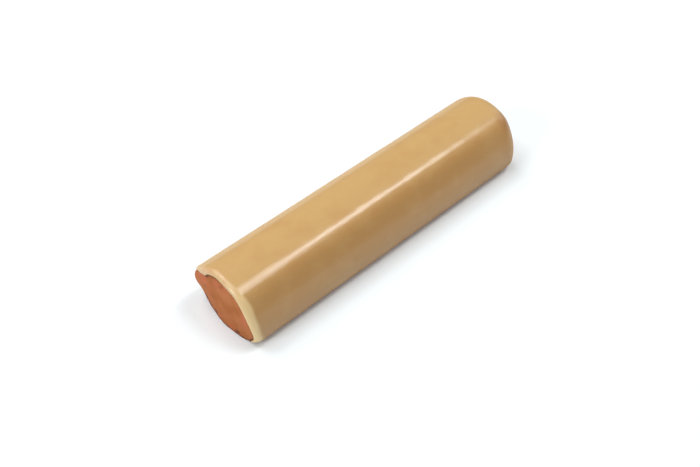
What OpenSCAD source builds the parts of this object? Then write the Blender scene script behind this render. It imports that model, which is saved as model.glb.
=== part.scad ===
/* [Tile] */
// Length of the tile, end to end over the clay
tile_l = 100; // [60:1:250]
// Width of the tile across the glaze
tile_w = 25; // [19:0.5:40]
// Height of the sides, from the flat back up to the half round
side_h = 5.75; // [4.5:0.25:12]

/* [Ends] */
// How far each end bows out at its middle
end_bow = 1.8; // [0.8:0.1:3]
// Radius of the glazed edge round the near end
near_edge_r = 1.5; // [1:0.1:2.4]
// Radius of the glazed edge round the far end, where the glaze pooled
far_edge_r = 3.4; // [1:0.1:4]

/* [Clay] */
// Radius of the round that tucks the clay in along the foot of each long side
foot_r = 3.6; // [2:0.1:5]

/* [Glaze] */
// Thickness of the glaze over the clay
glaze_t = 0.5; // [0.3:0.05:0.8]
// How far the glaze lip stands proud of each clay end
lip_proud = 0.4; // [0.2:0.05:0.8]
// Mean width of the glaze lip, in from the glazed surface
lip_w = 1.9; // [1.5:0.1:3]
// How far the edge of the lip wanders either way
lip_wave = 0.3; // [0:0.05:0.5]
// How far the run of thick glaze hangs below the lip on the near end
lip_run = 0.8; // [0:0.1:1.5]
// Height of the bare clay foot below the glaze
bare_foot = 0.9; // [0.2:0.1:1.5]

/* [Hidden] */
$fn = 96;
// Overrun of every cutting shape past the surface it cuts
cut = 1;
// How far a round stands out past the two faces it joins, so that it meets them at clean edges
ease = 0.004;
// Steps round the arch that draw the wavy edge of the lip
lip_steps = 56;
// Depth that the end windows reach into the glaze, past the bow and the lip
window_d = end_bow + 2 * lip_proud;
// Place of the run of thick glaze, as a share of the way round the arch, and its spread
run_at = 0.3;
run_spread = 0.045;
// Width of the clay inside its glaze, and length of the glaze form round the clay
clay_w = tile_w - 2 * glaze_t;
glaze_l = tile_l + 2 * lip_proud;
// Radius of the tuck of the foot over the glaze
glaze_foot_r = foot_r + glaze_t;
// Angle of the tuck that the lip follows down on each side before it stops
lip_turn = 40;
// Way that the lip takes from one foot to the other: two tucks, two sides and the half round
tuck_len = PI * glaze_foot_r * lip_turn / 180;
side_len = side_h - glaze_foot_r;
arch_len = PI * tile_w / 2;
way_len = 2 * (tuck_len + side_len) + arch_len;

// Radius of the arc that rises b over a half width c
function bow_radius(c, b) = (c * c + b * b) / (2 * b);

// Point on one half of the way of the lip, at distance p from its foot, moved in by d
function half_way_point(p, d) =
    p < tuck_len ?
        let (a = lip_turn * (p / tuck_len - 1), r = glaze_foot_r - d)
            [tile_w / 2 - glaze_foot_r + r * cos(a), glaze_foot_r + r * sin(a)] :
    p < tuck_len + side_len ?
        [tile_w / 2 - d, glaze_foot_r + p - tuck_len] :
    let (a = 180 * (p - tuck_len - side_len) / arch_len, r = tile_w / 2 - d)
        [r * cos(a), side_h + r * sin(a)];

// Point on the whole way of the lip at share s, moved in by d
function lip_point(s, d) =
    s <= 0.5 ? half_way_point(s * way_len, d) :
    let (q = half_way_point((1 - s) * way_len, d)) [-q[0], q[1]];

// Width of the lip at share s, from two slow waves and one run of thick glaze
function lip_at(s, run) =
    lip_w + lip_wave * (sin(900 * s + 35) + 0.7 * sin(2270 * s + 100)) / 1.7
    + run * exp(-pow((s - run_at) / run_spread, 2));

// Bowed cap of the end at y = l / 2
module end_cap(l, c, b) {
    intersection() {
        translate([-c, l / 2 - b]) square([2 * c, b]);
        translate([0, l / 2 - bow_radius(c, b)]) circle(bow_radius(c, b), $fn = 360);
    }
}

// Waste outside a round of radius r at the origin, between an upright face on its right and
// a face above it that leans over by an angle
module round_waste(r, lean) {
    reach = r + cut;
    difference() {
        polygon([[0, 0], [reach, 0], [reach, reach], [reach * tan(lean), reach]]);
        circle(r);
    }
}

// Waste outside the rounded corner where the bow at y = l / 2 meets the side x = c
module corner_waste(l, c, b, r) {
    bow_r = bow_radius(c, b);
    round_x = c - r + ease;
    lean = asin(round_x / (bow_r - r + ease));
    translate([round_x, l / 2 - bow_r + round_x / tan(lean)]) round_waste(r, lean);
}

// Outline from above, lengthways along y, with the near end at the bottom
module plan(l, w, b, r_near, r_far) {
    c = w / 2;
    difference() {
        union() {
            translate([-c, -l / 2 + b]) square([w, l - 2 * b]);
            end_cap(l, c, b);
            mirror([0, 1]) end_cap(l, c, b);
        }
        for (side = [0, 1]) mirror([side, 0]) {
            corner_waste(l, c, b, r_far);
            mirror([0, 1]) corner_waste(l, c, b, r_near);
        }
    }
}

// Half of that outline, to the right of its middle line
module half_plan(l, w, b, r_near, r_far) {
    intersection() {
        plan(l, w, b, r_near, r_far);
        translate([0, -l / 2]) square([w / 2, l]);
    }
}

// Half round on straight sides of height h, lengthways along x, with bowed and rounded ends
module stilted_round(l, w, h, b, r_near, r_far) {
    translate([0, 0, h]) rotate([90, 0, 90])
        rotate_extrude(angle = 180) half_plan(l, w, b, r_near, r_far);
    rotate([0, 0, -90]) linear_extrude(h) plan(l, w, b, r_near, r_far);
}

// Waste along the foot of both long sides, outside a rounded edge of radius r at y = w / 2
module foot_waste(w, r) {
    for (side = [0, 1]) mirror([0, side, 0])
        translate([-glaze_l / 2 - cut, 0, 0]) rotate([90, 0, 90]) linear_extrude(glaze_l + 2 * cut)
            translate([w / 2 - r + ease, r - ease]) mirror([0, 1]) round_waste(r, 0);
}

// Window in the glaze of one end where the clay shows, open at the bottom
module end_window(run) {
    edge = [for (i = [0:lip_steps]) lip_point(i / lip_steps, lip_at(i / lip_steps, run))];
    translate([-glaze_l / 2 - cut, 0, 0]) rotate([90, 0, 90]) linear_extrude(window_d + cut)
        polygon(concat([[edge[0][0], -cut]], edge, [[edge[lip_steps][0], -cut]]));
}

// Fired clay, bare on its flat back, its foot and its two ends
module clay_body() {
    color("#b9704a") difference() {
        stilted_round(tile_l, clay_w, side_h, end_bow, near_edge_r - glaze_t, far_edge_r - glaze_t);
        foot_waste(clay_w, foot_r);
    }
}

// Glaze over the half round and the sides, lapping round the edges of both ends
module glaze_coat() {
    color("#d2aa72") difference() {
        stilted_round(glaze_l, tile_w, side_h, end_bow, near_edge_r, far_edge_r);
        foot_waste(tile_w, glaze_foot_r);
        translate([-glaze_l / 2 - cut, -tile_w / 2 - cut, -cut])
            cube([glaze_l + 2 * cut, tile_w + 2 * cut, cut + bare_foot]);
        end_window(lip_run);
        mirror([1, 0, 0]) end_window(0);
    }
}

// The tile as it is fired, with its glaze fused to the clay
module pencil_liner_tile() {
    clay_body();
    glaze_coat();
}

pencil_liner_tile();
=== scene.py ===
"""A glazed half-round liner tile on a white table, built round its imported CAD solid."""

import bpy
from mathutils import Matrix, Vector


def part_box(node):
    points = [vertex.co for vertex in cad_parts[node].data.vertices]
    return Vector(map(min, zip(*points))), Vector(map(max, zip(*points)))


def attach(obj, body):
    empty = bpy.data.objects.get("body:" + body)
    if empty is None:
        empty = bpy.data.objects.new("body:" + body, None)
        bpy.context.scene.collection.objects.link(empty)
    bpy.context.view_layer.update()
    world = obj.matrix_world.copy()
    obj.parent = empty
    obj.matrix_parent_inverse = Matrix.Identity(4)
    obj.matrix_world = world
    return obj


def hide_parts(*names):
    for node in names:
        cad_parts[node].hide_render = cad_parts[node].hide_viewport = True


bl_info = {
    "name": "Pencil liner tile",
    "version": (1, 0, 0),
    "blender": (4, 5, 0),
    "location": "3D View > Sidebar > Tile",
    "description": "Builds a glazed half-round liner tile with bare clay ends, and its stage",
    "category": "Object",
}

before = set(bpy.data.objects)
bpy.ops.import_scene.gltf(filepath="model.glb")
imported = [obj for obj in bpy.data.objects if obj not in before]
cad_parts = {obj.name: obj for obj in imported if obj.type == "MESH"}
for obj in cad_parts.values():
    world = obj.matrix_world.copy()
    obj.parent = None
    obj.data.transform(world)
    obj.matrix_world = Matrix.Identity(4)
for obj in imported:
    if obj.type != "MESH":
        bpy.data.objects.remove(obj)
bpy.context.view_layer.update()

import math
import bpy
from mathutils import Matrix, Vector

NODE = "pencil_liner_tile"
LOW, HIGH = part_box(NODE)
TILE_LENGTH = HIGH.x - LOW.x
TILE_WIDTH = HIGH.y - LOW.y
TILE_HEIGHT = HIGH.z
MM = 0.001


def srgb(text):
    """Linear colour from an sRGB hex value"""
    parts = [int(text[i:i + 2], 16) / 255 for i in (1, 3, 5)]
    return tuple(p / 12.92 if p <= 0.04045 else ((p + 0.055) / 1.055) ** 2.4 for p in parts)


def rgba(colour):
    """Colour with full alpha, for a socket"""
    return (*colour, 1.0)


# ---------------------------------------------------------------- settings

class TileSizes(bpy.types.PropertyGroup):
    glaze_thickness: bpy.props.FloatProperty(
        name="Glaze thickness", description="Thickness of the glaze over the clay",
        default=0.5 * MM, min=0.2 * MM, max=1.0 * MM, unit="LENGTH")
    foot_radius: bpy.props.FloatProperty(
        name="Foot radius", description="Radius of the round that tucks the glaze in along the foot",
        default=4.1 * MM, min=1 * MM, max=5 * MM, unit="LENGTH")
    bare_foot: bpy.props.FloatProperty(
        name="Bare foot", description="Height of the bare clay below the glaze",
        default=0.9 * MM, min=0.3 * MM, max=2 * MM, unit="LENGTH")
    near_edge: bpy.props.FloatProperty(
        name="Near edge radius", description="Radius of the glazed edge round the near end",
        default=1.5 * MM, min=0.5 * MM, max=3 * MM, unit="LENGTH")
    far_edge: bpy.props.FloatProperty(
        name="Far edge radius", description="Radius of the glazed edge round the far end",
        default=3.4 * MM, min=0.5 * MM, max=4 * MM, unit="LENGTH")
    lip_width: bpy.props.FloatProperty(
        name="Lip width", description="Mean width of the glaze lip on the clay ends",
        default=1.9 * MM, min=1 * MM, max=3 * MM, unit="LENGTH")
    clay_recess: bpy.props.FloatProperty(
        name="Clay recess", description="Depth of the bare clay behind the glaze lip",
        default=0.4 * MM, min=0.1 * MM, max=1 * MM, unit="LENGTH")


class TileColours(bpy.types.PropertyGroup):
    glaze: bpy.props.FloatVectorProperty(
        name="Glaze", description="Tan of the glaze where it lies thick",
        subtype="COLOR", size=3, min=0, max=1, default=srgb("#CAA46C"))
    # On the flank beyond the ridge this darker, warmer tan is painted shade; in the clouds it is the glaze's own
    # tone.
    glaze_warm_and_flank_shade: bpy.props.FloatVectorProperty(
        name="Glaze, warm", description="Warmer tan down the flank beyond the ridge, and in the clouds",
        subtype="COLOR", size=3, min=0, max=1, default=srgb("#C0925A"))
    glaze_brown: bpy.props.FloatVectorProperty(
        name="Glaze, brown", description="Browner patch where the glaze ran thin at the far end",
        subtype="COLOR", size=3, min=0, max=1, default=srgb("#A9754A"))
    lip: bpy.props.FloatVectorProperty(
        name="Lip", description="Cream where the glaze breaks thin over the edge",
        subtype="COLOR", size=3, min=0, max=1, default=srgb("#D6B684"))
    # Painted light: the lip beyond the ridge is made paler to stand for the light on it.
    lip_painted_light: bpy.props.FloatVectorProperty(
        name="Lip, pale", description="Paler cream of the lip beyond the ridge",
        subtype="COLOR", size=3, min=0, max=1, default=srgb("#EACB94"))
    lip_pink: bpy.props.FloatVectorProperty(
        name="Lip, pinker", description="Pinker cream where the clay shows through the lip",
        subtype="COLOR", size=3, min=0, max=1, default=srgb("#D6AB80"))
    clay: bpy.props.FloatVectorProperty(
        name="Clay", description="Orange of the fired clay",
        subtype="COLOR", size=3, min=0, max=1, default=srgb("#BD723F"))
    clay_deep: bpy.props.FloatVectorProperty(
        name="Clay, deep", description="Browner patches of the fired clay",
        subtype="COLOR", size=3, min=0, max=1, default=srgb("#AB6128"))
    clay_red: bpy.props.FloatVectorProperty(
        name="Clay, red", description="Redder patches of the fired clay",
        subtype="COLOR", size=3, min=0, max=1, default=srgb("#C56A46"))
    # Also the colour of the painted contact shadow along the foot and of the painted shade at the chips.
    clay_dark_and_painted_shade: bpy.props.FloatVectorProperty(
        name="Clay, dark", description="Dark line along the glaze, and the chips along the foot",
        subtype="COLOR", size=3, min=0, max=1, default=srgb("#54301C"))


class StageSettings(bpy.types.PropertyGroup):
    floor: bpy.props.FloatVectorProperty(
        name="Floor", description="White of the table",
        subtype="COLOR", size=3, min=0, max=1, default=srgb("#EAF1F4"))
    world: bpy.props.FloatProperty(
        name="World light", description="Strength of the white room round the tile",
        default=0.19, min=0, max=2)


# ---------------------------------------------------------------- modelling helpers

def start_piece(name):
    """Names the primitive just added and opens it for editing, with only it selected"""
    piece = bpy.context.active_object
    piece.name = piece.data.name = name
    bpy.ops.object.transform_apply(location=True, rotation=True, scale=True)
    bpy.ops.object.mode_set(mode="EDIT")
    return piece


def select_verts(piece, test):
    """Selects in edit mode the vertices whose place passes the test"""
    bpy.ops.mesh.select_all(action="DESELECT")
    bpy.ops.object.mode_set(mode="OBJECT")
    for vertex in piece.data.vertices:
        vertex.select = test(vertex.co)
    bpy.ops.object.mode_set(mode="EDIT")


def extrude(x=0.0, y=0.0, z=0.0):
    """Extrudes what is selected and moves it"""
    bpy.ops.mesh.extrude_region_move(TRANSFORM_OT_translate={"value": (x, y, z)})


def apply_modifier(piece, kind, **settings):
    """Adds a modifier with its settings and applies it"""
    modifier = piece.modifiers.new(kind.title(), kind)
    for key, value in settings.items():
        setattr(modifier, key, value)
    bpy.ops.object.modifier_apply(modifier=modifier.name)


def only(piece):
    """Makes the piece the one selected and active object"""
    bpy.ops.object.select_all(action="DESELECT")
    piece.select_set(True)
    bpy.context.view_layer.objects.active = piece


def cloud(name, size, depth=2):
    """Cloud texture for a Displace modifier, with lumps of about that size"""
    texture = bpy.data.textures.new(name, "CLOUDS")
    texture.noise_scale = size
    texture.noise_depth = depth
    return texture


SPRINGING = TILE_HEIGHT - TILE_WIDTH / 2


def open_section(piece_name, sizes, inset, turn, turn_steps):
    """Open D section at x = 0, made from the upper half of a circle and extruded down both sides"""
    radius = TILE_WIDTH / 2 - inset
    bpy.ops.object.select_all(action="DESELECT")
    bpy.ops.mesh.primitive_circle_add(vertices=80, radius=radius, location=(0, 0, SPRINGING),
                                      rotation=(0, math.pi / 2, 0))
    piece = start_piece(piece_name)
    select_verts(piece, lambda co: co.z < SPRINGING - 1e-6)
    bpy.ops.mesh.delete(type="VERT")
    soften_round(piece, radius)
    at = SPRINGING
    half = radius
    tuck = sizes.foot_radius - inset
    centre = half - tuck
    path = [(half, (SPRINGING + tuck) / 2), (half, tuck)]
    for i in range(1, turn_steps + 1):
        angle = turn * i / turn_steps
        path.append((centre + tuck * math.cos(angle), tuck - tuck * math.sin(angle)))
    for width, height in path:
        select_verts(piece, lambda co: co.z < at + 1e-6)
        extrude(z=height - at)
        bpy.ops.transform.resize(value=(1, width / half, 1), center_override=(0, 0, height))
        half, at = width, height
    return piece


def soften_round(piece, radius):
    """Sinks the round a little on both sides of the ridge that the glaze left along it"""
    bpy.ops.object.mode_set(mode="OBJECT")
    for vertex in piece.data.vertices:
        angle = math.degrees(math.atan2(vertex.co.z - SPRINGING, vertex.co.y))
        share = 1 - between(HOLLOWS, angle) * MM / radius
        vertex.co.y *= share
        vertex.co.z = SPRINGING + (vertex.co.z - SPRINGING) * share
    bpy.ops.object.mode_set(mode="EDIT")


def run_section(piece, stations):
    """Extrudes the section from one end to the other; each station is (x, inset of the section)"""
    x, inset = stations[0]
    bpy.ops.mesh.select_all(action="SELECT")
    bpy.ops.transform.translate(value=(x, 0, 0))
    squeeze(inset, 0, x)
    for new_x, new_inset in stations[1:]:
        extrude(x=new_x - x)
        squeeze(new_inset, inset, new_x)
        x, inset = new_x, new_inset


def squeeze(inset, before, x):
    """Draws the selected section in from one inset to another, about the middle of the foot"""
    width = (TILE_WIDTH / 2 - inset) / (TILE_WIDTH / 2 - before)
    height = (TILE_HEIGHT - inset) / (TILE_HEIGHT - before)
    bpy.ops.transform.resize(value=(1, width, height), center_override=(x, 0, 0))


def edge_stations(radius, steps):
    """Quarter round of an edge as (distance from the end, inset) pairs, from the end inwards"""
    turns = [math.pi / 2 * i / steps for i in range(steps + 1)]
    return [(radius * (1 - math.sin(a)), radius * (1 - math.cos(a))) for a in reversed(turns)]


def near_face(y, z):
    """How far the near end lies behind the tip of the tile: cut a little askew, with its foot worn back"""
    across = y / (TILE_WIDTH / 2)
    low = math.exp(-(max(z, 0) / (6 * MM)) ** 2)
    foot = 2.8 * across ** 1.4 if across > 0 else 1.5 * across ** 2
    right = 0.4 * min(across, 0) ** 2
    up = max(z / TILE_HEIGHT, 0) ** 2 * (1 - 0.5 * max(across, 0))
    return (0.33 * (1 - across) - 0.1 + right + 0.6 * up + foot * low) * MM


def far_face(y, z):
    """How far the far end lies behind the tip of the tile: bowed more across than up"""
    across = y / (TILE_WIDTH / 2)
    up = max(z - SPRINGING, 0) / (TILE_WIDTH / 2)
    return 1.8 * MM * (across ** 2 + 0.5 * up ** 2)


def bow_ends(piece):
    """Bows the two ends with a cage, which leaves the long straight sides as they are"""
    bpy.ops.object.mode_set(mode="OBJECT")
    bpy.ops.object.select_all(action="DESELECT")
    bpy.ops.object.add(type="LATTICE", location=(0, 0, TILE_HEIGHT / 2))
    cage = bpy.context.active_object
    cage.scale = (TILE_LENGTH, TILE_WIDTH, TILE_HEIGHT)
    shape = cage.data
    shape.points_u, shape.points_v, shape.points_w = 2, 9, 7
    shape.interpolation_type_u = "KEY_LINEAR"
    shape.interpolation_type_v = shape.interpolation_type_w = "KEY_CATMULL_ROM"
    for point in shape.points:
        y, z = point.co.y * TILE_WIDTH, (point.co.z + 0.5) * TILE_HEIGHT
        back = near_face(y, z) if point.co.x < 0 else -far_face(y, z)
        point.co_deform.x += back / TILE_LENGTH
    only(piece)
    apply_modifier(piece, "LATTICE", object=cage)
    bpy.data.objects.remove(cage)


def section_angle(y, z):
    """Place round the section in degrees: 0 and 180 at the springing, 90 at the crown, past them down the sides"""
    if z >= SPRINGING:
        return math.degrees(math.atan2(z - SPRINGING, y))
    down = math.degrees((SPRINGING - z) / (TILE_WIDTH / 2))
    return -down if y > 0 else 180 + down


def between(table, at):
    """Value at a place in a table of (place, value) pairs, eased between them"""
    if at <= table[0][0]:
        return table[0][1]
    for (a, low), (b, high) in zip(table, table[1:]):
        if at <= b:
            share = (at - a) / (b - a)
            return low + (high - low) * share * share * (3 - 2 * share)
    return table[-1][1]


# Depth of the hollows beside the ridge, in mm, by angle round the section
HOLLOWS = ((60, 0.0), (100, 0.4), (125, 0.0), (150, 0.4), (185, 0.0))
# Reach of the near lip on the clay face round the section, in mm: none on the left side, where it
# only comes up to the corner, then a drooping run, then a narrow and a wide stretch
NEAR_LIP = ((16, -1.6), (30, -0.1), (42, 0.7), (51, 1.8), (59, 2.4), (70, 1.4), (84, 1.0), (104, 1.2),
            (125, 1.3), (142, 1.4), (160, 1.4), (175, 1.5), (200, 1.8))
FAR_LIP = ((-20, 4.4), (20, 4.1), (60, 4.8), (85, 4.2), (120, 4.7), (150, 4.3), (200, 4.9))
# Width of the cream band where the glaze breaks over the near edge, in mm from the face
NEAR_CREAM = ((40, 0.9), (70, 0.9), (92, 1.1), (113, 1.7), (142, 2.3), (160, 1.9), (180, 1.6), (200, 1.6))


def lip_path(radius, bead):
    """Profile of an end from deep in the face, over the bead and the rounded edge, on to the side"""
    path = [(bead, 7 * MM), (bead, radius + 2 * MM), (0.0, radius + 1.0 * MM)]
    path += [(d, i) for d, i in edge_stations(radius, 6)]
    return path + [(radius + 6 * MM, 0.0)]


def at_length(path, length):
    """Point at a length along a path of (x, inset) pairs"""
    for a, b in zip(path, path[1:]):
        step = math.dist(a, b)
        if length <= step:
            share = length / step
            return a[0] + (b[0] - a[0]) * share, a[1] + (b[1] - a[1]) * share
        length -= step
    return path[-1]


def length_to_inset(path, inset):
    """Length along a path to the place where it lies that deep; below 0 it counts on along the side"""
    total = 0.0
    for a, b in zip(path, path[1:]):
        if a[1] >= inset >= b[1] and a[1] > b[1] and inset > 0:
            return total + math.dist(a, b) * (a[1] - inset) / (a[1] - b[1])
        total += math.dist(a, b)
    side = math.dist(path[-2], path[-1])
    return total - side - inset


def lay_lip(piece, end, rows, path, lip):
    """Slides the rows of vertices at one end along its profile, so that the lip's edge follows its table.
    rows are the (x, inset) stations they were extruded at, from the lip inwards."""
    edge = piece.data.attributes.get("glaze_edge") or piece.data.attributes.new("glaze_edge", "FLOAT", "POINT")
    last = len(rows) - 1
    stop = sum(math.dist(a, b) for a, b in zip(path, path[1:])) - (path[-1][0] - rows[-1][0])
    for vertex in piece.data.vertices:
        x = end * vertex.co.x + TILE_LENGTH / 2
        for row, (at, inset) in enumerate(rows):
            if abs(x - at) < 0.002 * MM:
                break
        else:
            continue
        y = vertex.co.y * (TILE_WIDTH / 2) / (TILE_WIDTH / 2 - inset)
        z = vertex.co.z * TILE_HEIGHT / (TILE_HEIGHT - inset)
        start = length_to_inset(path, between(lip, section_angle(y, z)) * MM)
        new_x, new_inset = at_length(path, start + (stop - start) * (row / last) ** 1.15)
        vertex.co = (end * (new_x - TILE_LENGTH / 2), y * (1 - new_inset / (TILE_WIDTH / 2)),
                     z * (1 - new_inset / TILE_HEIGHT))
        edge.data[vertex.index].value = 1.0 if row == 0 else 0.0


def depth_inside(y, z, foot):
    """How deep a point of the section lies inside the surface of the glaze"""
    if z > SPRINGING:
        hollow = between(HOLLOWS, section_angle(y, z)) * MM
        return TILE_WIDTH / 2 - hollow - math.hypot(y, z - SPRINGING)
    tuck = max(foot - z, 0)
    return TILE_WIDTH / 2 - foot + math.sqrt(max(foot ** 2 - tuck ** 2, 0)) - abs(y)


def mark_seam(piece, foot):
    """Writes on the clay how near each point of its near end is to the edge of the lip"""
    seam = piece.data.attributes.new("under_lip", "FLOAT", "POINT")
    for vertex in piece.data.vertices:
        y, z = vertex.co.y, vertex.co.z
        reach = between(NEAR_LIP, section_angle(y, z))
        past = depth_inside(y, z, foot) / MM - reach
        if reach > 0 and vertex.co.x < -TILE_LENGTH / 2 + 1 * MM:
            seam.data[vertex.index].value = min(max(1 - (past - 0.4) / 0.4, 0), 1)


# ---------------------------------------------------------------- materials

def add_node(tree, kind, inputs=None, **settings):
    """Adds a node with its settings; each input is given a value, a socket, or a node for its first output"""
    node = tree.nodes.new(kind)
    for key, value in settings.items():
        setattr(node, key, value)
    for key, value in (inputs or {}).items():
        if isinstance(value, bpy.types.Node):
            value = next(output for output in value.outputs if output.enabled)
        if isinstance(value, bpy.types.NodeSocket):
            tree.links.new(value, node.inputs[key])
        else:
            node.inputs[key].default_value = value
    return node


def new_material(name):
    material = bpy.data.materials.new(name)
    material.use_nodes = True
    material.node_tree.nodes.clear()
    return material


# Marks that the photograph shows: a pimple fired into the glaze, whose glint is a painted highlight, a browner patch
# in it at the far end, and chips along the foot of the near end, drawn only as painted shade in the clay
PIMPLE = (38.4 * MM, -4.66 * MM, 17.0 * MM)
BROWN_PATCH = (47.0 * MM, -7.0 * MM, 15.6 * MM)
CHIP_SHADE_SPOTS = tuple(Vector(point) * MM for point in ((-48.1, 8.8, 1.8), (-48.4, 6.6, 1.0), (-48.9, 3.6, 1.0),
                                               (-49.0, -5.2, 1.1)))


def tan_glaze(colours):
    """Lead-type amber glaze over red clay: glossy and tan, clouded, warmer beyond the ridge, cream where thin. The
    flank beyond the ridge is also darkened as painted shade, the lip there is lightened as painted light, and the
    pimple carries a painted highlight.
    """
    material = new_material("tan_glaze")
    tree = material.node_tree
    place = add_node(tree, "ShaderNodeTexCoord").outputs["Object"]
    axes = add_node(tree, "ShaderNodeSeparateXYZ", {"Vector": place}).outputs
    # Tan that warms past the ridge, with soft clouds in both. Past the ridge the warmer, darker tan is painted shade
    # on the flank; in the clouds it is the glaze's own tone.
    flank = add_node(tree, "ShaderNodeMapRange", {
        "Value": axes["Y"], "From Min": -3.5 * MM, "From Max": -9 * MM}, interpolation_type="SMOOTHSTEP")
    clouds = add_node(tree, "ShaderNodeTexNoise", {"Vector": place, "Scale": 1 / (7 * MM), "Detail": 3.0})
    clouds = add_node(tree, "ShaderNodeMath", {0: clouds, 1: 1.8, 2: -0.9}, operation="MULTIPLY_ADD")
    warmth_and_flank_shade = add_node(tree, "ShaderNodeMath", {0: flank, 1: clouds}, operation="ADD")
    tan = add_node(tree, "ShaderNodeMix", {
        "Factor": warmth_and_flank_shade, "A": rgba(colours.glaze), "B": rgba(colours.glaze_warm_and_flank_shade)}, data_type="RGBA")
    # Browner patch at the far end of the ridge
    reach = add_node(tree, "ShaderNodeVectorMath", {0: place, 1: BROWN_PATCH}, operation="DISTANCE")
    patch = add_node(tree, "ShaderNodeMapRange", {
        "Value": reach, "From Min": 4.5 * MM, "From Max": 1 * MM, "To Max": 0.5}, interpolation_type="SMOOTHSTEP")
    tan = add_node(tree, "ShaderNodeMix", {
        "Factor": patch, "A": tan, "B": rgba(colours.glaze_brown)}, data_type="RGBA")
    # Cream where the glaze breaks over the edge, pinker where the clay shows through, paler beyond the ridge as
    # painted light, and cream on the pimple as a painted highlight
    speckle = add_node(tree, "ShaderNodeTexNoise", {"Vector": place, "Scale": 1 / (2.2 * MM)})
    pink = add_node(tree, "ShaderNodeMapRange", {"Value": speckle, "From Min": 0.45, "From Max": 0.65})
    cream = add_node(tree, "ShaderNodeMix", {
        "Factor": pink, "A": rgba(colours.lip), "B": rgba(colours.lip_pink)}, data_type="RGBA")
    cream = add_node(tree, "ShaderNodeMix", {
        "Factor": flank, "A": cream, "B": rgba(colours.lip_painted_light)}, data_type="RGBA")
    # Painted highlight: the pimple's glint is painted as cream over its bump.
    reach = add_node(tree, "ShaderNodeVectorMath", {0: place, 1: PIMPLE}, operation="DISTANCE")
    pimple_and_glint = add_node(tree, "ShaderNodeMapRange", {"Value": reach, "From Min": 0.45 * MM, "From Max": 0.1 * MM})
    thin = add_node(tree, "ShaderNodeAttribute", attribute_name="thin_glaze").outputs["Fac"]
    pale = add_node(tree, "ShaderNodeMath", {0: thin, 1: pimple_and_glint}, operation="MAXIMUM")
    colour = add_node(tree, "ShaderNodeMix", {"Factor": pale, "A": tan, "B": cream}, data_type="RGBA")
    # Dark, broken line along the very edge of the lip
    edge = add_node(tree, "ShaderNodeAttribute", attribute_name="glaze_edge").outputs["Fac"]
    edge = add_node(tree, "ShaderNodeMapRange", {"Value": edge, "From Min": 0.45, "From Max": 0.85, "To Max": 0.75})
    breaks = add_node(tree, "ShaderNodeTexNoise", {"Vector": place, "Scale": 1 / (1.5 * MM)})
    breaks = add_node(tree, "ShaderNodeMapRange", {"Value": breaks, "From Min": 0.4, "From Max": 0.55})
    line = add_node(tree, "ShaderNodeMath", {0: edge, 1: breaks}, operation="MULTIPLY")
    colour = add_node(tree, "ShaderNodeMix", {
        "Factor": line, "A": colour, "B": rgba(colours.clay_dark_and_painted_shade)}, data_type="RGBA")
    # Slow ripple with a finer grain in it, which frays the edges of a reflection
    swell = add_node(tree, "ShaderNodeTexNoise", {"Vector": place, "Scale": 1 / (4.5 * MM)})
    grain = add_node(tree, "ShaderNodeTexNoise", {"Vector": place, "Scale": 1 / (1.5 * MM), "Detail": 1.0})
    ripple = add_node(tree, "ShaderNodeMath", {0: grain, 1: 0.4, 2: swell}, operation="MULTIPLY_ADD")
    ripple = add_node(tree, "ShaderNodeMath", {0: pimple_and_glint, 1: 2.0, 2: ripple}, operation="MULTIPLY_ADD")
    bump = add_node(tree, "ShaderNodeBump", {"Height": ripple, "Strength": 1.0, "Distance": 0.07 * MM})
    # Duller towards the far end, and with a weak gloss at a glancing angle, as on a slightly pitted glaze
    rough = add_node(tree, "ShaderNodeMapRange", {
        "Value": axes["X"], "From Min": 24 * MM, "From Max": 42 * MM, "To Min": 0.21, "To Max": 0.27})
    facing = add_node(tree, "ShaderNodeLayerWeight", {"Blend": 0.5}).outputs["Facing"]
    gloss = add_node(tree, "ShaderNodeMapRange", {
        "Value": facing, "From Min": 0.58, "From Max": 0.72, "To Min": 0.5, "To Max": 0.05})
    shader = add_node(tree, "ShaderNodeBsdfPrincipled", {
        "Base Color": colour, "Roughness": rough, "IOR": 1.5, "Specular IOR Level": gloss, "Normal": bump})
    add_node(tree, "ShaderNodeOutputMaterial", {"Surface": shader})
    return material


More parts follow.
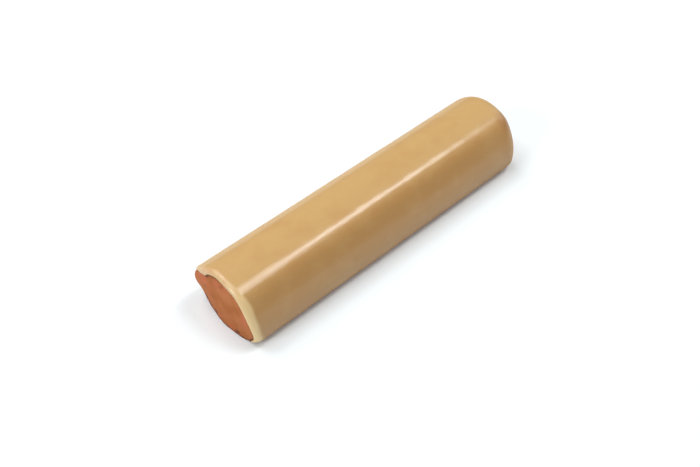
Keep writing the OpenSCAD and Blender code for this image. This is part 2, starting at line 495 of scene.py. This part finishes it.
def fired_clay(colours):
    """Red earthenware, cut and fired: matt and orange, with browner and redder patches, grit and pits"""
    material = new_material("fired_clay")
    tree = material.node_tree
    place = add_node(tree, "ShaderNodeTexCoord").outputs["Object"]
    axes = add_node(tree, "ShaderNodeSeparateXYZ", {"Vector": place}).outputs
    # Browner and redder patches a few mm across
    brown = add_node(tree, "ShaderNodeTexNoise", {"Vector": place, "Scale": 1 / (7 * MM), "Detail": 3.0})
    brown = add_node(tree, "ShaderNodeMapRange", {"Value": brown, "From Min": 0.4, "From Max": 0.62})
    clay = add_node(tree, "ShaderNodeMix", {
        "Factor": brown, "A": rgba(colours.clay), "B": rgba(colours.clay_deep)}, data_type="RGBA")
    moved = add_node(tree, "ShaderNodeVectorMath", {0: place, 1: (0.1, 0.2, 0.3)}, operation="ADD")
    red = add_node(tree, "ShaderNodeTexNoise", {"Vector": moved, "Scale": 1 / (4.5 * MM), "Detail": 3.0})
    red = add_node(tree, "ShaderNodeMapRange", {"Value": red, "From Min": 0.48, "From Max": 0.7})
    clay = add_node(tree, "ShaderNodeMix", {
        "Factor": red, "A": clay, "B": rgba(colours.clay_red)}, data_type="RGBA")
    # Dark line along the lip, painted contact shadow darkening the foot, both broken into dots, and painted shade at
    # a few chips on the near foot
    seam = add_node(tree, "ShaderNodeAttribute", attribute_name="under_lip").outputs["Fac"]
    # Painted contact shadow: the clay gets darker towards the bottom, from 0.8 mm down to 0.35 mm.
    foot = add_node(tree, "ShaderNodeMapRange", {
        "Value": axes["Z"], "From Min": 0.8 * MM, "From Max": 0.35 * MM})
    line = add_node(tree, "ShaderNodeMath", {0: seam, 1: foot}, operation="MAXIMUM")
    dots = add_node(tree, "ShaderNodeTexNoise", {"Vector": place, "Scale": 1 / (1.3 * MM)})
    dots = add_node(tree, "ShaderNodeMapRange", {"Value": dots, "From Min": 0.34, "From Max": 0.48})
    line = add_node(tree, "ShaderNodeMath", {0: line, 1: dots}, operation="MULTIPLY")
    ragged = add_node(tree, "ShaderNodeTexNoise", {"Vector": place, "Scale": 1 / (1.4 * MM), "Detail": 3.0})
    # Painted shade at chips: dark ragged spots on the near foot, with no chip cut into the clay.
    for point in CHIP_SHADE_SPOTS:
        reach = add_node(tree, "ShaderNodeVectorMath", {0: place, 1: point}, operation="DISTANCE")
        reach = add_node(tree, "ShaderNodeMath", {0: ragged, 1: 4 * MM, 2: reach}, operation="MULTIPLY_ADD")
        chip_shade = add_node(tree, "ShaderNodeMapRange", {"Value": reach, "From Min": 3.0 * MM, "From Max": 2.7 * MM})
        line = add_node(tree, "ShaderNodeMath", {0: line, 1: chip_shade}, operation="MAXIMUM")
    pits = add_node(tree, "ShaderNodeTexNoise", {"Vector": place, "Scale": 1 / (0.9 * MM), "Detail": 1.0})
    pits = add_node(tree, "ShaderNodeMapRange", {"Value": pits, "From Min": 0.7, "From Max": 0.78})
    dark = add_node(tree, "ShaderNodeMath", {0: line, 1: pits}, operation="MAXIMUM")
    dark = add_node(tree, "ShaderNodeMath", {0: dark, 1: 0.85}, operation="MULTIPLY")
    clay = add_node(tree, "ShaderNodeMix", {
        "Factor": dark, "A": clay, "B": rgba(colours.clay_dark_and_painted_shade)}, data_type="RGBA")
    grit = add_node(tree, "ShaderNodeTexNoise", {"Vector": place, "Scale": 1 / (0.6 * MM), "Detail": 4.0})
    bump = add_node(tree, "ShaderNodeBump", {"Height": grit, "Strength": 1.0, "Distance": 0.1 * MM})
    shader = add_node(tree, "ShaderNodeBsdfPrincipled", {"Base Color": clay, "Roughness": 0.9, "Normal": bump})
    add_node(tree, "ShaderNodeOutputMaterial", {"Surface": shader})
    return material


def white_table(stage):
    """Matt white table that keeps the soft shadow, and looks white to the camera where nothing shades it"""
    material = new_material("white_table")
    tree = material.node_tree
    ray = add_node(tree, "ShaderNodeLightPath")
    lift = add_node(tree, "ShaderNodeMath", {0: ray.outputs["Is Camera Ray"], 1: 0.1}, operation="MULTIPLY")
    matt = add_node(tree, "ShaderNodeBsdfDiffuse", {"Color": rgba(stage.floor)})
    glow = add_node(tree, "ShaderNodeEmission", {"Strength": lift})
    both = add_node(tree, "ShaderNodeAddShader", {0: matt, 1: glow})
    add_node(tree, "ShaderNodeOutputMaterial", {"Surface": both})
    return material


# ---------------------------------------------------------------- operators

class TILE_OT_clay_body(bpy.types.Operator):
    """Models the fired clay: tucked feet, flat back and two bowed, bare ends"""
    bl_idname = "tile.clay_body"
    bl_label = "Clay body"

    def execute(self, context):
        sizes = context.scene.tile_sizes
        recess = sizes.clay_recess
        half = TILE_LENGTH / 2 - recess
        piece = open_section("clay_body", sizes, sizes.glaze_thickness, math.pi / 2, 6)
        select_verts(piece, lambda co: co.z < 0.01 * MM)
        bpy.ops.mesh.edge_face_add()
        near = edge_stations(sizes.near_edge - sizes.glaze_thickness, 3)
        far = edge_stations(sizes.far_edge - sizes.glaze_thickness, 4)
        span = 2 * half - near[-1][0] - far[-1][0]
        middle = [-half + near[-1][0] + i * span / 30 for i in range(1, 30)]
        stations = [(-half + d, i) for d, i in near] + [(x, 0) for x in middle]
        stations += [(half - d, i) for d, i in reversed(far)]
        run_section(piece, stations)
        for end in (-1, 1):
            select_verts(piece, lambda co: end * co.x > half - 1e-6)
            bpy.ops.mesh.edge_face_add()
        bpy.ops.mesh.select_all(action="SELECT")
        bpy.ops.mesh.normals_make_consistent(inside=False)
        bpy.ops.object.mode_set(mode="OBJECT")
        apply_modifier(piece, "REMESH", mode="VOXEL", voxel_size=0.4 * MM)
        mark_seam(piece, sizes.foot_radius)
        bow_ends(piece)
        apply_modifier(piece, "DISPLACE", texture=cloud("clay_lumps", 2.2 * MM), strength=0.24 * MM, mid_level=0.5)
        bpy.ops.object.mode_set(mode="EDIT")
        select_verts(piece, lambda co: co.z < 0)
        bpy.ops.transform.resize(value=(1, 1, 0), center_override=(0, 0, 0))
        bpy.ops.object.mode_set(mode="OBJECT")
        bpy.ops.object.shade_smooth()
        piece.data.materials.append(fired_clay(context.scene.tile_colours))
        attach(piece, "root")
        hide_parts(NODE)
        return {"FINISHED"}


class TILE_OT_glaze_coat(bpy.types.Operator):
    """Models the glaze: a skin over the round and the sides that laps round the ends as a wavy lip"""
    bl_idname = "tile.glaze_coat"
    bl_label = "Glaze coat"

    def execute(self, context):
        sizes = context.scene.tile_sizes
        half = TILE_LENGTH / 2
        turn = math.asin((sizes.foot_radius - sizes.bare_foot) / sizes.foot_radius)
        piece = open_section("glaze_coat", sizes, 0, turn, 4)
        near = [(0.25 * MM + 0.4 * MM * i, 0.0) for i in range(12)]
        far = [(0.25 * MM + 0.5 * MM * i, 0.0) for i in range(12)]
        span = 2 * half - near[-1][0] - far[-1][0]
        middle = [-half + near[-1][0] + i * span / 84 for i in range(1, 84)]
        stations = [(-half + d, i) for d, i in near] + [(x, 0) for x in middle]
        stations += [(half - d, i) for d, i in reversed(far)]
        run_section(piece, stations)
        bpy.ops.mesh.select_all(action="SELECT")
        bpy.ops.mesh.normals_make_consistent(inside=False)
        bpy.ops.object.mode_set(mode="OBJECT")
        bead = 0.15 * MM
        lay_lip(piece, 1, near, lip_path(sizes.near_edge, bead), NEAR_LIP)
        lay_lip(piece, -1, far, lip_path(sizes.far_edge, bead), FAR_LIP)
        cream = piece.data.attributes.new("thin_glaze", "FLOAT", "POINT")
        for vertex in piece.data.vertices:
            band = between(NEAR_CREAM, section_angle(vertex.co.y, vertex.co.z)) * MM
            if vertex.co.x > 0:
                band = 0.3 * MM
            behind = half - abs(vertex.co.x)
            cream.data[vertex.index].value = min(max(0.5 + (band - behind) / (0.8 * MM), 0), 1)
        bow_ends(piece)
        apply_modifier(piece, "DISPLACE", texture=cloud("glaze_swell", 14 * MM, 1), strength=0.12 * MM, mid_level=1.0)
        apply_modifier(piece, "SOLIDIFY", thickness=sizes.glaze_thickness, offset=-1)
        apply_modifier(piece, "SUBSURF", levels=1, render_levels=1)
        bpy.ops.object.shade_smooth()
        piece.data.materials.append(tan_glaze(context.scene.tile_colours))
        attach(piece, "root")
        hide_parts(NODE)
        return {"FINISHED"}


# Camera found from the photograph's two long edges: where it stands, where it looks, and its lens
CAMERA_AT = Vector((-122.59, -126.88, 192.88)) * MM
LOOKS_AT = Vector((-5.19, 1.10, 0.0)) * MM
LENS = 48.58


# Softboxes round the tile: name, place in m, size along the tile and across it in m, power in W
LAMPS = (
    ("left_softbox", (-0.15, 0.56, 0.75), (0.7, 0.55), 3.45),
    ("overhead_softbox", (-0.18, 0.22, 0.87), (0.6, 0.5), 2.2),
    ("streak_softbox", (0.38, -0.14, 0.70), (0.23, 0.16), 1.3),
    ("near_streak_softbox", (0.205, -0.19, 0.70), (0.13, 0.34), 1.0),
    ("near_softbox", (-0.84, 0.05, 0.45), (0.4, 0.3), 3.1),
    ("far_softbox", (0.85, -0.05, 0.45), (0.3, 0.5), 1.0),
)


def facing(at):
    """Rotation that turns a lamp at that place to the tile, with its first side along the tile"""
    back = at.normalized()
    along = (Vector((1, 0, 0)) - back * back.x).normalized()
    return Matrix((along, back.cross(along), back)).transposed().to_euler()


class TILE_OT_stage(bpy.types.Operator):
    """Lays the white table and sets the soft lights and the camera"""
    bl_idname = "tile.stage"
    bl_label = "Stage"

    def execute(self, context):
        stage = context.scene.tile_stage
        bpy.ops.object.select_all(action="DESELECT")
        bpy.ops.mesh.primitive_plane_add(size=4)
        floor = start_piece("floor")
        bpy.ops.mesh.subdivide(number_cuts=3)
        bpy.ops.object.mode_set(mode="OBJECT")
        floor.data.materials.append(white_table(stage))

        world = bpy.data.worlds.new("white_room")
        context.scene.world = world
        world.use_nodes = True
        tree = world.node_tree
        tree.nodes.clear()
        ray = add_node(tree, "ShaderNodeLightPath")
        level = add_node(tree, "ShaderNodeMapRange", {"Value": ray.outputs["Is Camera Ray"], "To Min": stage.world,
                                                      "To Max": 1.0})
        room = add_node(tree, "ShaderNodeBackground", {"Strength": level})
        add_node(tree, "ShaderNodeOutputWorld", {"Surface": room})

        for name, at, size, power in LAMPS:
            bpy.ops.object.light_add(type="AREA", location=at)
            lamp = context.active_object
            lamp.name = name
            lamp.data.shape = "RECTANGLE"
            lamp.data.size, lamp.data.size_y = size
            lamp.data.energy = power
            lamp.rotation_euler = facing(Vector(at))

        bpy.ops.object.camera_add(location=CAMERA_AT)
        camera = context.active_object
        camera.name = "camera"
        camera.rotation_euler = (LOOKS_AT - CAMERA_AT).to_track_quat("-Z", "Y").to_euler()
        camera.data.lens = LENS
        camera.data.sensor_width = 36
        camera.data.clip_start = 0.01
        context.scene.camera = camera
        context.scene.view_settings.view_transform = "Standard"
        return {"FINISHED"}


class TILE_PT_panel(bpy.types.Panel):
    """Lists the pieces of the tile and its settings"""
    bl_idname = "TILE_PT_panel"
    bl_label = "Pencil liner tile"
    bl_space_type = "VIEW_3D"
    bl_region_type = "UI"
    bl_category = "Tile"

    def draw(self, context):
        scene = context.scene
        for group in (scene.tile_sizes, scene.tile_colours, scene.tile_stage):
            box = self.layout.box()
            for key in type(group).__annotations__:
                box.prop(group, key)
        for operator in (TILE_OT_clay_body, TILE_OT_glaze_coat, TILE_OT_stage):
            self.layout.operator(operator.bl_idname)


CLASSES = (TileSizes, TileColours, StageSettings, TILE_OT_clay_body, TILE_OT_glaze_coat, TILE_OT_stage,
           TILE_PT_panel)


def register():
    for item in CLASSES:
        bpy.utils.register_class(item)
    bpy.types.Scene.tile_sizes = bpy.props.PointerProperty(type=TileSizes)
    bpy.types.Scene.tile_colours = bpy.props.PointerProperty(type=TileColours)
    bpy.types.Scene.tile_stage = bpy.props.PointerProperty(type=StageSettings)


def unregister():
    for name in ("tile_sizes", "tile_colours", "tile_stage"):
        delattr(bpy.types.Scene, name)
    for item in reversed(CLASSES):
        bpy.utils.unregister_class(item)


def main():
    register()
    bpy.ops.tile.clay_body()
    bpy.ops.tile.glaze_coat()
    bpy.ops.tile.stage()


if __name__ == "__main__":
    main()
